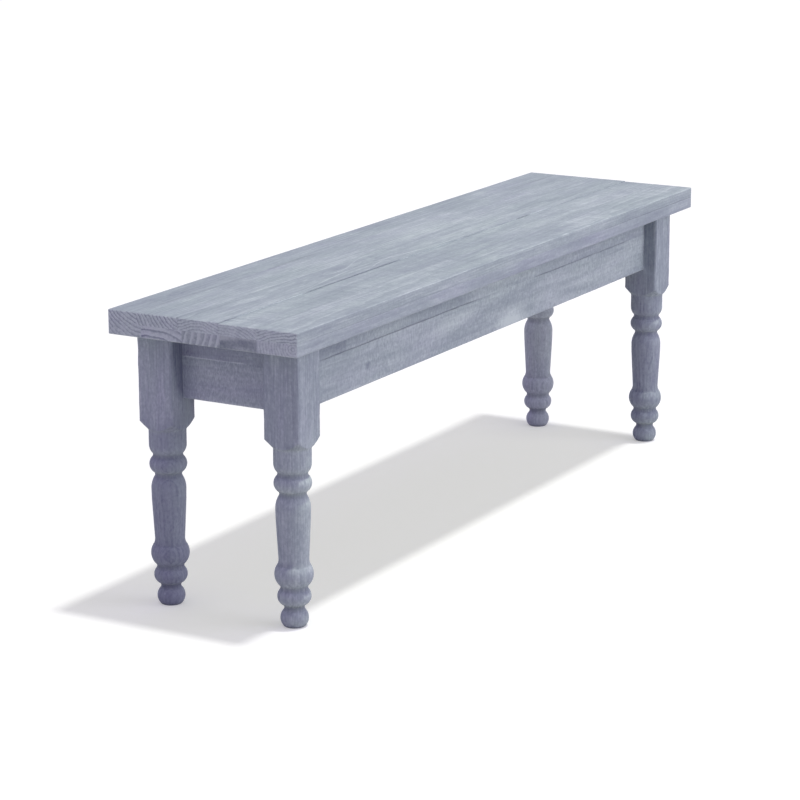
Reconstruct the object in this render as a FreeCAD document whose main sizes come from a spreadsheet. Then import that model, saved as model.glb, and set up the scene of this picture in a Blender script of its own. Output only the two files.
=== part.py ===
import FreeCAD, Part
import math
import os
import re
import Sketcher

# Dining bench with turned legs: a slab seat glued up from strips in two layers, on four legs that are
# bolted to corner blocks in a frame of aprons. X runs along the seat, Y across it from front to back,
# Z up from the floor, and the origin is on the floor under the middle of the seat.

# Driving dimensions in millimetres: name, value, what it measures.
SIZES = [
    ("seat_height", 457, "floor to the top of the seat"),
    ("seat_length", 1330, "end to end of the seat"),
    ("upper_layer", 18, "thickness of the upper strips"),
    ("lower_layer", 19, "thickness of the lower strips"),
    ("upper_strip_1", 50, "width of the upper strip at the back"),
    ("upper_strip_2", 71, "width of the next upper strip"),
    ("upper_strip_3", 70, "width of the middle upper strip"),
    ("upper_strip_4", 64, "width of the next upper strip"),
    ("upper_strip_5", 67, "width of the upper strip at the front"),
    ("lower_strip_1", 58, "width of the lower strip at the back"),
    ("lower_strip_2", 70, "width of the next lower strip"),
    ("lower_strip_3", 65, "width of the middle lower strip"),
    ("lower_strip_4", 62, "width of the next lower strip; the last one fills the rest"),
    ("front_step", 1, "how far the two front upper strips lie below the others"),
    ("seam_ease", 0.6, "eased edge along each glued seam"),
    ("edge_ease", 2, "eased edge round the outside of the seat"),
    ("end_overhang", 38, "seat end to the legs' outer faces"),
    ("side_overhang", 22.5, "seat side to the legs' outer faces"),
    ("leg_square", 60, "side of the square leg blank"),
    ("leg_arris", 3, "eased corners of the leg blank, along each face"),
    ("leg_block", 134.5, "square block at the top of the leg, down to its shoulder"),
    ("leg_corner_cut", 14, "inner corner cut off the block, along each face"),
    ("cove_low", 3.6, "lower edge of each neck's cove, below the neck"),
    ("cove_low_rise", 1.2, "how far that edge stands out from the neck"),
    ("cove_high", 4.4, "upper edge of each neck's cove, above the neck"),
    ("cove_high_rise", 2.2, "how far that edge stands out from the neck"),
    ("slope_radius", 30.5, "foot of the shoulder's slope"),
    ("slope_foot", 13.2, "that place, below the block"),
    ("collar_cove_radius", 28.8, "a point on the cove over the collar"),
    ("collar_cove", 15, "that point, below the block"),
    ("collar_radius", 27.9, "straight collar under the shoulder"),
    ("collar_top", 17.8, "top of the collar, below the block"),
    ("collar_foot", 40, "foot of the collar, below the block"),
    ("collar_round_radius", 26.7, "a point on the round under the collar"),
    ("collar_round", 46.3, "that point, below the block"),
    ("collar_neck_radius", 22.2, "neck under the collar"),
    ("collar_neck", 54.9, "that neck, below the block"),
    ("high_bead_radius", 28, "bead between the collar and the vase"),
    ("high_bead", 68.7, "middle of that bead, below the block"),
    ("vase_neck_radius", 19.9, "neck over the vase"),
    ("vase_neck", 85.2, "that neck, below the block"),
    ("vase_crown_radius", 24.8, "a point on the round top of the vase"),
    ("vase_crown", 98, "that point, below the block"),
    ("vase_radius", 25.9, "widest place of the vase"),
    ("vase_wide", 108.5, "that place, below the block"),
    ("vase_belly_radius", 25.6, "vase where its belly meets the long taper"),
    ("vase_belly", 122.5, "that place, below the block"),
    ("taper_radius", 22.4, "thin end of the taper"),
    ("taper_foot", 102.5, "thin end of the taper, above the floor"),
    ("taper_cove_radius", 22.8, "a point on the cove under the taper"),
    ("taper_cove", 97.4, "that point, above the floor"),
    ("big_bead_edge_radius", 24, "upper edge of the largest bead"),
    ("big_bead_edge", 93.6, "that edge, above the floor"),
    ("big_bead_radius", 28.8, "largest bead, under the taper"),
    ("big_bead", 79.5, "middle of that bead, above the floor"),
    ("low_neck_radius", 20.2, "neck between the two low beads"),
    ("low_neck", 58.7, "that neck, above the floor"),
    ("low_bead_radius", 25, "lower bead"),
    ("low_bead", 46.6, "middle of that bead, above the floor"),
    ("ankle_radius", 14.9, "neck over the ball foot"),
    ("ankle", 28.2, "that neck, above the floor"),
    ("ball_radius", 20.9, "ball foot"),
    ("ball", 13.4, "widest place of the ball foot, above the floor"),
    ("foot_radius", 15.5, "flat underside of the ball foot"),
    ("apron_upper", 37, "height of the aprons' upper strips"),
    ("apron_lower", 64, "height of the aprons' lower strips"),
    ("apron_thickness", 20, "thickness of the aprons"),
    ("apron_ease", 1.5, "eased lower edges of the aprons"),
    ("long_setback", 23.5, "legs' outer faces to the long aprons' outer faces"),
    ("end_setback", 29, "legs' outer faces to the end aprons' outer faces"),
    ("block_thickness", 22, "corner block, along its bolts"),
    ("block_height", 80, "corner block, upright"),
    ("block_drop", 6, "seat underside to the top of a corner block"),
    ("block_gap", 14, "flat on the leg to the corner block, so that the bolts draw the leg in"),
    ("bolt_radius", 4, "hanger bolt"),
    ("bolt_depth", 38, "hanger bolt inside the leg"),
    ("bolt_proud", 4, "hanger bolt beyond its nut"),
    ("bolt_point", 5, "pointed end of the hanger bolt"),
    ("bolt_spacing", 40, "between the two bolts of a leg"),
    ("bolt_play", 0.5, "radial play of a bolt in its corner block and washer"),
    ("washer_radius", 10, "washer under each nut"),
    ("washer_thickness", 1.6, "thickness of the washers"),
    ("nut_flats", 13, "hex nut across its flats"),
    ("nut_height", 6.5, "height of the nuts"),
    ("thread_play", 0.15, "radial play of a fastener in the hole that holds it"),
    ("screw_radius", 2, "shank of every wood screw"),
    ("screw_point", 4, "pointed end of every wood screw"),
    ("screw_bite", 13, "every wood screw inside the wood that holds it"),
    ("pan_radius", 4, "pan head of the corner block screws"),
    ("pan_height", 2.4, "height of a pan head"),
    ("pan_room", 1, "radial room round a pan head in its pocket"),
    ("pan_seat", 10, "wood of the corner block under a pan head"),
    ("block_screw_inset", 12, "screw from the leg side of a corner block's end"),
    ("block_screw_spacing", 50, "between the two screws in a block's end"),
    ("sink_radius", 4, "countersunk head of the clip and batten screws"),
    ("sink_height", 2, "height of a countersunk head"),
    ("clip_radius", 9, "each disc of a seat clip"),
    ("clip_centres", 16, "between the centres of a clip's two discs"),
    ("clip_thickness", 2.6, "thickness of the clips"),
    ("clip_room", 0.4, "room round a clip in its recess"),
    ("clip_spacing", 400, "between clips along a long apron"),
    ("batten_width", 60, "cross batten, along the seat"),
    ("batten_thickness", 20, "thickness of the battens"),
    ("batten_spacing", 400, "between the two cross battens"),
    ("batten_room", 0.3, "batten's end to the long apron"),
    ("batten_screw_spacing", 62, "between the screws of a batten"),
    ("waste", 5, "how far a cutting outline runs past the wood"),
]

# Sizes that follow from those.
DERIVED = [
    ("seat_width", "upper_strip_1 + upper_strip_2 + upper_strip_3 + upper_strip_4 + upper_strip_5"),
    ("lower_strip_5", "seat_width - lower_strip_1 - lower_strip_2 - lower_strip_3 - lower_strip_4"),
    ("leg_length", "seat_height - upper_layer - lower_layer"),
    ("layer_joint", "leg_length + lower_layer"),
    ("leg_axis_x", "seat_length / 2 - end_overhang - leg_square / 2"),
    ("leg_axis_y", "seat_width / 2 - side_overhang - leg_square / 2"),
    ("half_diagonal", "leg_square / sqrt(2)"),
    ("arris_step", "leg_arris / sqrt(2)"),
    ("shoulder", "leg_length - leg_block"),
    ("corner_flat", "half_diagonal - leg_corner_cut / sqrt(2)"),
    ("apron_height", "apron_upper + apron_lower"),
    ("apron_joint", "leg_length - apron_upper"),
    ("apron_foot", "apron_joint - apron_lower"),
    ("long_apron", "2 * leg_axis_x - leg_square"),
    ("end_apron", "2 * leg_axis_y - leg_square"),
    ("long_reach", "long_setback + apron_thickness - leg_square / 2"),
    ("end_reach", "end_setback + apron_thickness - leg_square / 2"),
    ("long_inner", "leg_axis_y - long_reach"),
    ("end_inner", "leg_axis_x - end_reach"),
    ("block_near", "corner_flat + block_gap"),
    ("block_far", "block_near + block_thickness"),
    ("block_foot", "leg_length - block_drop - block_height"),
    ("block_middle", "block_foot + block_height / 2"),
    ("long_screw", "sqrt(2) * block_near - long_reach + block_screw_inset"),
    ("end_screw", "sqrt(2) * block_near - end_reach + block_screw_inset"),
    ("bolt_length", "bolt_depth + block_gap + block_thickness + washer_thickness + nut_height + bolt_proud"),
    ("screw_hole", "screw_radius + thread_play"),
    ("hole_depth", "screw_bite + thread_play"),
]
KNOWN = {entry[0] for entry in SIZES + DERIVED}

UP = FreeCAD.Vector(0, 0, 1)
DOWN = FreeCAD.Vector(0, 0, -1)
# Names of the strips from back to front, and signs, as they go into formulas.
STRIPS = ("1", "2", "3", "4", "5")
FRONT_STRIPS = ("4", "5")
BOTH_WAYS = ("-1", "1")
# Corners of the bench: side along X, side across Y, then the aprons to the left and to the right as seen
# from the leg along the diagonal into the frame.
CORNERS = {
    "front_left": ("-1", "-1", "end", "long"),
    "front_right": ("1", "-1", "long", "end"),
    "back_right": ("1", "1", "end", "long"),
    "back_left": ("-1", "1", "long", "end"),
}

doc = FreeCAD.newDocument("DiningBench")
sheet = doc.addObject("Spreadsheet::Sheet", "Sizes")
for row, (name, value, note) in enumerate(SIZES, 1):
    sheet.set(f"A{row}", name)
    sheet.set(f"B{row}", str(value))
    sheet.setAlias(f"B{row}", name)
    sheet.set(f"C{row}", note)
for row, (name, words) in enumerate(DERIVED, len(SIZES) + 1):
    sheet.set(f"A{row}", name)
    sheet.set(f"B{row}", "=" + words)
    sheet.setAlias(f"B{row}", name)
doc.recompute()

pieces = []


def formula(words):
    """The words with every size name pointed at the sheet."""
    def pointed(word):
        return "Sizes." + word[0] if word[0] in KNOWN else word[0]
    return re.sub(r"[a-z]\w*", pointed, words)


def number(words):
    """A formula of sizes, worked out."""
    return float(sheet.evalExpression(formula(words)))


def point(across, along, height="0"):
    return FreeCAD.Vector(number(across), number(along), number(height))


def bind(thing, **formulas):
    """Tie properties to the sheet; double underscores stand for dots."""
    for path, words in formulas.items():
        thing.setExpression(path.replace("__", "."), formula(words))


def piece(label, kind="PartDesign::Body"):
    """A named piece of the bench, to be written at the end."""
    thing = doc.addObject(kind, label)
    thing.Label = label
    pieces.append(thing)
    return thing


def sketch_on(body, name, role, lift=None):
    """A sketch on one of the body's own origin planes, lifted along its normal."""
    sketch = body.newObject("Sketcher::SketchObject", name)
    plane = next(feature for feature in body.Origin.OriginFeatures if feature.Role == role)
    sketch.AttachmentSupport = [(plane, "")]
    sketch.MapMode = "FlatFace"
    if lift:
        bind(sketch, AttachmentOffset__Base__z=lift)
    return sketch


def hold(sketch, geometry, end, across, along):
    """Fix a point of the sketch at two formulas, measured from the origin."""
    for kind, words in (("DistanceX", across), ("DistanceY", along)):
        rule = Sketcher.Constraint(kind, -1, 1, geometry, end, number(words))
        sketch.setExpression(f"Constraints[{sketch.addConstraint(rule)}]", formula(words))


def outline(sketch, corners):
    """A closed outline of lines and arcs. A corner is (across, along), and one with two formulas more
    is reached by an arc through that point."""
    starts = []
    ends = []
    for before, here in zip(corners[-1:] + corners[:-1], corners):
        first = point(*before[:2])
        last = point(*here[:2])
        if len(here) == 2:
            edge = sketch.addGeometry(Part.LineSegment(first, last))
            starts.append((edge, 1))
            ends.append((edge, 2))
            continue
        crown = point(*here[2:])
        edge = sketch.addGeometry(Part.Arc(first, crown, last))
        leftward = (crown - first).cross(last - crown).z > 0
        starts.append((edge, 1 if leftward else 2))
        ends.append((edge, 2 if leftward else 1))
        mark = sketch.addGeometry(Part.Point(crown), True)
        hold(sketch, mark, 1, *here[2:])
        sketch.addConstraint(Sketcher.Constraint("PointOnObject", mark, 1, edge))
    for end, start, here in zip(ends, starts[1:] + starts[:1], corners):
        sketch.addConstraint(Sketcher.Constraint("Coincident", *end, *start))
        hold(sketch, *end, *here[:2])


def eased_box(sketch, left, right, low, high, eases):
    """A rectangle whose corners named in eases are cut off by that much along each side."""
    corners = []
    for side, level in (("left", "low"), ("right", "low"), ("right", "high"), ("left", "high")):
        across = left if side == "left" else right
        along = low if level == "low" else high
        ease = eases.get(side + "_" + level)
        if not ease:
            corners.append((across, along))
            continue
        inward = "+" if side == "left" else "-"
        upward = "+" if level == "low" else "-"
        cut = [(f"{across} {inward} {ease}", along), (across, f"{along} {upward} {ease}")]
        if (side == "left") == (level == "low"):
            cut.reverse()
        corners += cut
    outline(sketch, corners)


def extrude(body, sketch, length, symmetric=False):
    pad = body.newObject("PartDesign::Pad", sketch.Name + "_pad")
    pad.Profile = sketch
    pad.SideType = "Symmetric" if symmetric else "One side"
    bind(pad, Length=length)
    return pad


def pocket(body, sketch, depth=None):
    """A cut against the sketch's normal, or right through both ways where no depth is given."""
    cut = body.newObject("PartDesign::Pocket", sketch.Name + "_pocket")
    cut.Profile = sketch
    if depth:
        cut.Type = "Length"
        bind(cut, Length=depth)
    else:
        cut.SideType = "Symmetric"
        cut.Type = "ThroughAll"
    return cut


def turn(body, kind, corners):
    """Turn an outline of (radius, height) corners about the body's upright axis."""
    sketch = sketch_on(body, body.Name + "_profile", "XZ_Plane")
    outline(sketch, corners)
    turned = body.newObject("PartDesign::" + kind, body.Name + "_turned")
    turned.Profile = sketch
    turned.ReferenceAxis = (sketch, ["V_Axis"])
    turned.Angle = 360
    return turned


def drill(body, radius, depth, start, heading):
    """A round hole from a point along a heading."""
    hole = body.newObject("PartDesign::SubtractiveCylinder", body.Name + "_hole")
    bind(hole, Radius=radius, Height=depth)
    hole.Placement = FreeCAD.Placement(start, FreeCAD.Rotation(UP, heading))


def countersink(body, start, heading):
    """The seat of a countersunk head whose top is flush at a point."""
    seat = body.newObject("PartDesign::SubtractiveCone", body.Name + "_sink")
    bind(seat, Radius1="sink_radius + thread_play", Radius2="screw_hole", Height="sink_height")
    seat.Placement = FreeCAD.Placement(start, FreeCAD.Rotation(UP, heading))


def group(label, master, places):
    """Copies of one fastener, as separate solids of one piece."""
    doc.recompute()
    copies = []
    for place in places:
        copy = master.Shape.copy()
        copy.Placement = place
        copies.append(copy)
    piece(label, "Part::Feature").Shape = Part.makeCompound(copies)


def diagonal(corner):
    """Heading of the diagonal from a corner's leg into the frame."""
    side_x, side_y = CORNERS[corner][:2]
    return math.degrees(math.atan2(-float(side_y), -float(side_x)))


def stand_at(body, corner):
    """Set a body on the floor plan of a leg, with its own X along the diagonal."""
    side_x, side_y = CORNERS[corner][:2]
    stand(body, f"{side_x} * leg_axis_x", f"{side_y} * leg_axis_y", diagonal(corner))


def stand(body, across, along, heading):
    """Set a body in the bench: its place on the floor plan and the heading of its own X."""
    body.Placement = FreeCAD.Placement(FreeCAD.Vector(), FreeCAD.Rotation(UP, heading))
    bind(body, Placement__Base__x=across, Placement__Base__y=along)


def strip_sides(layer):
    """Each strip of a layer of the seat, with its back and front sides."""
    back = "seat_width / 2"
    for strip in STRIPS:
        front = f"{back} - {layer}_strip_{strip}"
        yield strip, back, front
        back = front


def seat_strip(label, front, back, low, high, eases, eased_level, into_wood):
    """One strip of the seat, with eased sides and eased ends."""
    body = piece(label)
    section = sketch_on(body, label + "_section", "YZ_Plane")
    eased_box(section, front, back, low, high, eases)
    extrude(body, section, "seat_length", symmetric=True)
    ends = sketch_on(body, label + "_ends", "XZ_Plane")
    for side in BOTH_WAYS:
        tip = f"{side} * seat_length / 2"
        outline(ends, [
            (tip, eased_level),
            (f"{side} * (seat_length / 2 - edge_ease)", eased_level),
            (tip, f"{eased_level} {into_wood} edge_ease"),
        ])
    pocket(body, ends)
    return body


def upper_strips():
    for strip, back, front in strip_sides("upper"):
        top = "seat_height - front_step" if strip in FRONT_STRIPS else "seat_height"
        eases = {
            "left_high": "edge_ease" if strip == STRIPS[-1] else "seam_ease",
            "right_high": "edge_ease" if strip == STRIPS[0] else "seam_ease",
        }
        seat_strip(f"seat_upper_strip_{strip}", front, back, "layer_joint", top, eases, top, "-")


def seat_screws():
    """Places under the seat where a screw goes up into it."""
    places = []
    for side in BOTH_WAYS:
        places.append((f"{side} * (end_inner - clip_centres / 2)", "0"))
        for step in (-1, 0, 1):
            places.append((f"{step} * clip_spacing", f"{side} * (long_inner - clip_centres / 2)"))
            places.append((f"{side} * batten_spacing / 2", f"{step} * batten_screw_spacing"))
    return places


def lower_strips():
    room = number("screw_hole")
    for strip, back, front in strip_sides("lower"):
        eases = {}
        if strip == STRIPS[0]:
            eases["right_low"] = "edge_ease"
        if strip == STRIPS[-1]:
            eases["left_low"] = "edge_ease"
        label = f"seat_lower_strip_{strip}"
        body = seat_strip(label, front, back, "leg_length", "layer_joint", eases, "leg_length", "+")
        for across, along in seat_screws():
            if number(front) - room < number(along) < number(back) + room:
                drill(body, "screw_hole", "hole_depth", point(across, along, "leg_length"), UP)


def bolt_heights():
    return [f"block_middle + {step} * bolt_spacing / 2" for step in BOTH_WAYS]


def cove_foot(neck_radius, neck):
    """The lower edge of the cove in a neck, where the form below it ends."""
    return (f"{neck_radius} + cove_low_rise", f"{neck} - cove_low")


def cove(neck_radius, neck):
    """The cove itself: an arc through the neck to its upper edge."""
    return (f"{neck_radius} + cove_high_rise", f"{neck} + cove_high", neck_radius, neck)


def leg(corner):
    """A leg turned from a square blank. Its own X is the diagonal from its axis into the frame."""
    body = piece("leg_" + corner)
    blank = sketch_on(body, body.Name + "_blank", "XY_Plane")
    reach = "(half_diagonal - arris_step)"
    outline(blank, [
        (reach, "-arris_step"),
        (reach, "arris_step"),
        ("arris_step", reach),
        ("-arris_step", reach),
        ("-" + reach, "arris_step"),
        ("-" + reach, "-arris_step"),
        ("-arris_step", "-" + reach),
        ("arris_step", "-" + reach),
    ])
    extrude(body, blank, "leg_length")
    # What the lathe takes off, from the foot up to the shoulder under the square block. A bead ends at the
    # lower edge of the cove over it, and the cove ends at the foot of the next bead.
    vase_neck = "shoulder - vase_neck"
    collar_neck = "shoulder - collar_neck"
    turn(body, "Groove", [
        ("foot_radius", "0"),
        (*cove_foot("ankle_radius", "ankle"), "ball_radius", "ball"),
        cove("ankle_radius", "ankle"),
        (*cove_foot("low_neck_radius", "low_neck"), "low_bead_radius", "low_bead"),
        cove("low_neck_radius", "low_neck"),
        ("big_bead_edge_radius", "big_bead_edge", "big_bead_radius", "big_bead"),
        ("taper_radius", "taper_foot", "taper_cove_radius", "taper_cove"),
        ("vase_belly_radius", "shoulder - vase_belly"),
        ("vase_radius", "shoulder - vase_wide"),
        (*cove_foot("vase_neck_radius", vase_neck), "vase_crown_radius", "shoulder - vase_crown"),
        cove("vase_neck_radius", vase_neck),
        (*cove_foot("collar_neck_radius", collar_neck), "high_bead_radius", "shoulder - high_bead"),
        cove("collar_neck_radius", collar_neck),
        ("collar_radius", "shoulder - collar_foot", "collar_round_radius", "shoulder - collar_round"),
        ("collar_radius", "shoulder - collar_top"),
        ("slope_radius", "shoulder - slope_foot", "collar_cove_radius", "shoulder - collar_cove"),
        ("half_diagonal", "shoulder"),
        ("half_diagonal + waste", "shoulder"),
        ("half_diagonal + waste", "-waste"),
        ("foot_radius", "-waste"),
    ])
    flat = sketch_on(body, body.Name + "_flat", "XY_Plane", "leg_length")
    eased_box(flat, "corner_flat", "half_diagonal + waste", "-half_diagonal", "half_diagonal", {})
    pocket(body, flat, "apron_height")
    for height in bolt_heights():
        start = point("corner_flat", "0", height)
        drill(body, "bolt_radius + thread_play", "bolt_depth + thread_play", start, FreeCAD.Vector(-1, 0, 0))
    stand_at(body, corner)


def block_screws(corner):
    """Seats of the screws in a corner block's ends, and their headings, in the leg's own frame."""
    left, right = CORNERS[corner][2:]
    seats = []
    for side, apron in ((1, left), (-1, right)):
        off = f"{apron}_reach + pan_seat"
        across = f"({apron}_screw + {off}) / sqrt(2)"
        along = f"{side} * ({apron}_screw - ({off})) / sqrt(2)"
        heading = FreeCAD.Vector(-1, side, 0)
        for step in BOTH_WAYS:
            height = f"block_middle + {step} * block_screw_spacing / 2"
            seats.append((point(across, along, height), heading.normalize()))
    return seats


def corner_block(corner):
    """A block across the corner of the frame, cut to sit on the inner faces of two aprons."""
    left, right = CORNERS[corner][2:]
    body = piece("corner_block_" + corner)
    plan = sketch_on(body, body.Name + "_plan", "XY_Plane", "block_foot")
    outline(plan, [
        ("block_near", f"-(block_near - sqrt(2) * {right}_reach)"),
        ("block_far", f"-(block_far - sqrt(2) * {right}_reach)"),
        ("block_far", f"block_far - sqrt(2) * {left}_reach"),
        ("block_near", f"block_near - sqrt(2) * {left}_reach"),
    ])
    extrude(body, plan, "block_height")
    for height in bolt_heights():
        start = point("block_near - waste", "0", height)
        drill(body, "bolt_radius + bolt_play", "block_thickness + 2 * waste", start, FreeCAD.Vector(1, 0, 0))
    for seat, inward in block_screws(corner):
        drill(body, "screw_hole", "pan_seat + waste", seat, inward)
        drill(body, "pan_radius + pan_room", "block_thickness + waste", seat, -inward)
    stand_at(body, corner)


def apron(side, kind, clip_steps, across, along, heading):
    """An apron of two strips. Its own X runs along it, and its own Y from its outer face inwards."""
    span = kind + "_apron"
    levels = {
        "upper": ("apron_joint", "leg_length", {"left_low": "seam_ease"}),
        "lower": ("apron_foot", "apron_joint", {
            "left_high": "seam_ease",
            "left_low": "apron_ease",
            "right_low": "apron_ease",
        }),
    }
    for level, (low, high, eases) in levels.items():
        body = piece(f"apron_{side}_{level}")
        section = sketch_on(body, body.Name + "_section", "YZ_Plane")
        eased_box(section, "0", "apron_thickness", low, high, eases)
        extrude(body, section, span, symmetric=True)
        for end in BOTH_WAYS:
            for step in BOTH_WAYS:
                height = f"block_middle + {step} * block_screw_spacing / 2"
                room = number("screw_hole")
                if not number(low) - room < number(height) < number(high) + room:
                    continue
                spot = f"{end} * (({span} + leg_square) / 2 - {kind}_screw)"
                start = point(spot, "apron_thickness", height)
                drill(body, "screw_hole", "hole_depth", start, FreeCAD.Vector(0, -1, 0))
        if level == "upper":
            clip_recesses(body, clip_steps)
        stand(body, across, along, heading)


def clip_recesses(body, clip_steps):
    """Recesses for the seat clips in the top of an apron, open on its inner face."""
    plan = sketch_on(body, body.Name + "_recesses", "XY_Plane", "leg_length")
    centre = "apron_thickness - clip_centres / 2"
    mouth = "apron_thickness + waste"
    for step in clip_steps:
        middle = f"{step} * clip_spacing"
        left = f"{middle} - clip_radius - clip_room"
        right = f"{middle} + clip_radius + clip_room"
        outline(plan, [
            (left, mouth),
            (left, centre),
            (right, centre, middle, f"{centre} - clip_radius - clip_room"),
            (right, mouth),
        ])
    pocket(body, plan, "clip_thickness")
    for step in clip_steps:
        start = point(f"{step} * clip_spacing", centre, "leg_length - clip_thickness")
        drill(body, "screw_hole", "hole_depth", start, DOWN)


def batten(label, side):
    """A flat batten across the underside of the seat."""
    body = piece(label)
    plan = sketch_on(body, label + "_plan", "XY_Plane", "leg_length - batten_thickness")
    end = "(long_inner - batten_room)"
    eased_box(plan, "-batten_width / 2", "batten_width / 2", "-" + end, end, {})
    extrude(body, plan, "batten_thickness")
    for step in (-1, 0, 1):
        start = point("0", f"{step} * batten_screw_spacing", "leg_length - batten_thickness")
        drill(body, "screw_hole", "batten_thickness + waste", start, UP)
        countersink(body, start, UP)
    stand(body, f"{side} * batten_spacing / 2", "0", 0)


def turned_master(name, corners):
    """A fastener turned about its own Z, which a group copies."""
    body = doc.addObject("PartDesign::Body", name)
    turn(body, "Revolution", corners)
    return body


def sunk_screw(name, length):
    """A countersunk wood screw whose head is flush at the origin."""
    return turned_master(name, [
        ("0", f"-({length})"),
        ("screw_radius", f"screw_point - ({length})"),
        ("screw_radius", "-sink_height"),
        ("sink_radius", "0"),
        ("0", "0"),
    ])


def pan_screw():
    """A pan head wood screw whose head sits on the origin."""
    return turned_master("pan_screw", [
        ("0", "-(pan_seat + screw_bite)"),
        ("screw_radius", "screw_point - (pan_seat + screw_bite)"),
        ("screw_radius", "0"),
        ("pan_radius", "0"),
        ("pan_radius", "pan_height / 2"),
        ("pan_radius / 2", "pan_height"),
        ("0", "pan_height"),
    ])


def hanger_bolt():
    return turned_master("hanger_bolt", [
        ("0", "0"),
        ("bolt_radius", "bolt_point"),
        ("bolt_radius", "bolt_length"),
        ("0", "bolt_length"),
    ])


def washer():
    return turned_master("washer", [
        ("bolt_radius + bolt_play", "0"),
        ("washer_radius", "0"),
        ("washer_radius", "washer_thickness"),
        ("bolt_radius + bolt_play", "washer_thickness"),
    ])


def hex_nut():
    body = doc.addObject("PartDesign::Body", "hex_nut")
    plan = sketch_on(body, "hex_nut_plan", "XY_Plane")
    tip = "nut_flats / sqrt(3)"
    outline(plan, [
        (tip, "0"),
        (tip + " / 2", "nut_flats / 2"),
        ("-" + tip + " / 2", "nut_flats / 2"),
        ("-" + tip, "0"),
        ("-" + tip + " / 2", "-nut_flats / 2"),
        (tip + " / 2", "-nut_flats / 2"),
    ])
    extrude(body, plan, "nut_height")
    drill(body, "bolt_radius + thread_play", "nut_height + 2 * waste", point("0", "0", "-waste"), UP)
    return body


def seat_clip():
    """A figure-eight plate: its own X points from the apron inwards, across the apron's inner face."""
    body = doc.addObject("PartDesign::Body", "seat_clip")
    plan = sketch_on(body, "seat_clip_plan", "XY_Plane")
    waist = "sqrt(clip_radius * clip_radius - clip_centres * clip_centres / 4)"
    tip = "(clip_centres / 2 + clip_radius)"
    outline(plan, [
        ("0", "-" + waist, "-" + tip, "0"),
        ("0", waist, tip, "0"),
    ])
    extrude(body, plan, "clip_thickness")
    on_apron = point("-clip_centres / 2", "0", "clip_thickness")
    under_seat = point("clip_centres / 2", "0")
    for start, heading in ((on_apron, DOWN), (under_seat, UP)):
        drill(body, "screw_hole", "clip_thickness + waste", start, heading)
        countersink(body, start, heading)
    return body


def corner_places(corner, places):
    """Places in a leg's own frame, carried into the bench."""
    side_x, side_y = CORNERS[corner][:2]
    foot = point(f"{side_x} * leg_axis_x", f"{side_y} * leg_axis_y")
    frame = FreeCAD.Placement(foot, FreeCAD.Rotation(UP, diagonal(corner)))
    return [frame.multiply(place) for place in places]


def bolt_group(label, master, start):
    """One fastener on each bolt axis, at a distance from the leg's axis."""
    along_bolt = FreeCAD.Rotation(UP, FreeCAD.Vector(1, 0, 0))
    own = [FreeCAD.Placement(point(start, "0", height), along_bolt) for height in bolt_heights()]
    group(label, master, [place for corner in CORNERS for place in corner_places(corner, own)])


def block_screw_group():
    places = []
    for corner in CORNERS:
        seats = block_screws(corner)
        own = [FreeCAD.Placement(seat, FreeCAD.Rotation(UP, -inward)) for seat, inward in seats]
        places += corner_places(corner, own)
    group("corner_block_screws", pan_screw(), places)


def clip_places():
    """Where the seat clips lie: over the inner face of each apron, pointing inwards."""
    height = "leg_length - clip_thickness"
    places = []
    for side, along, across in ((-1, 90, 0), (1, 270, 180)):
        for step in (-1, 0, 1):
            spot = point(f"{step} * clip_spacing", f"{side} * long_inner", height)
            places.append(FreeCAD.Placement(spot, FreeCAD.Rotation(UP, along)))
        spot = point(f"{side} * end_inner", "0", height)
        places.append(FreeCAD.Placement(spot, FreeCAD.Rotation(UP, across)))
    return places


def clip_groups():
    places = clip_places()
    group("seat_clips", seat_clip(), places)
    into_apron = FreeCAD.Placement(point("-clip_centres / 2", "0", "clip_thickness"), FreeCAD.Rotation())
    into_seat = FreeCAD.Placement(point("clip_centres / 2", "0"), FreeCAD.Rotation(UP, DOWN))
    screws = [place.multiply(own) for place in places for own in (into_apron, into_seat)]
    group("seat_clip_screws", sunk_screw("clip_screw", "clip_thickness + screw_bite"), screws)


def batten_screw_group():
    places = []
    for side in BOTH_WAYS:
        for step in (-1, 0, 1):
            across = f"{side} * batten_spacing / 2"
            spot = point(across, f"{step} * batten_screw_spacing", "leg_length - batten_thickness")
            places.append(FreeCAD.Placement(spot, FreeCAD.Rotation(UP, DOWN)))
    group("batten_screws", sunk_screw("batten_screw", "batten_thickness + screw_bite"), places)


def check():
    """Every object made, every cut taking wood away, every piece whole."""
    cuts = ("Pocket", "Groove", "SubtractiveCylinder", "SubtractiveCone")
    for thing in doc.Objects:
        if "Invalid" in thing.State or "Error" in thing.State:
            raise RuntimeError(f"{thing.Label} is not made: {thing.State}")
        if thing.TypeId.split("::")[-1] in cuts:
            if thing.Shape.Volume >= thing.BaseFeature.Shape.Volume:
                raise RuntimeError(thing.Label + " cuts nothing")
    for thing in pieces:
        if thing.Shape.isNull() or not thing.Shape.isValid() or not thing.Shape.Solids:
            raise RuntimeError(thing.Label + " has no sound shape")


upper_strips()
lower_strips()
for corner in CORNERS:
    leg(corner)
    corner_block(corner)
apron("front", "long", (-1, 0, 1), "0", "-(long_inner + apron_thickness)", 0)
apron("back", "long", (-1, 0, 1), "0", "long_inner + apron_thickness", 180)
apron("left", "end", (0,), "-(end_inner + apron_thickness)", "0", -90)
apron("right", "end", (0,), "end_inner + apron_thickness", "0", 90)
batten("cross_batten_left", -1)
batten("cross_batten_right", 1)
bolt_group("hanger_bolts", hanger_bolt(), "corner_flat - bolt_depth")
bolt_group("hanger_washers", washer(), "block_far")
bolt_group("hanger_nuts", hex_nut(), "block_far + washer_thickness")
block_screw_group()
clip_groups()
batten_screw_group()
doc.recompute()
check()

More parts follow.
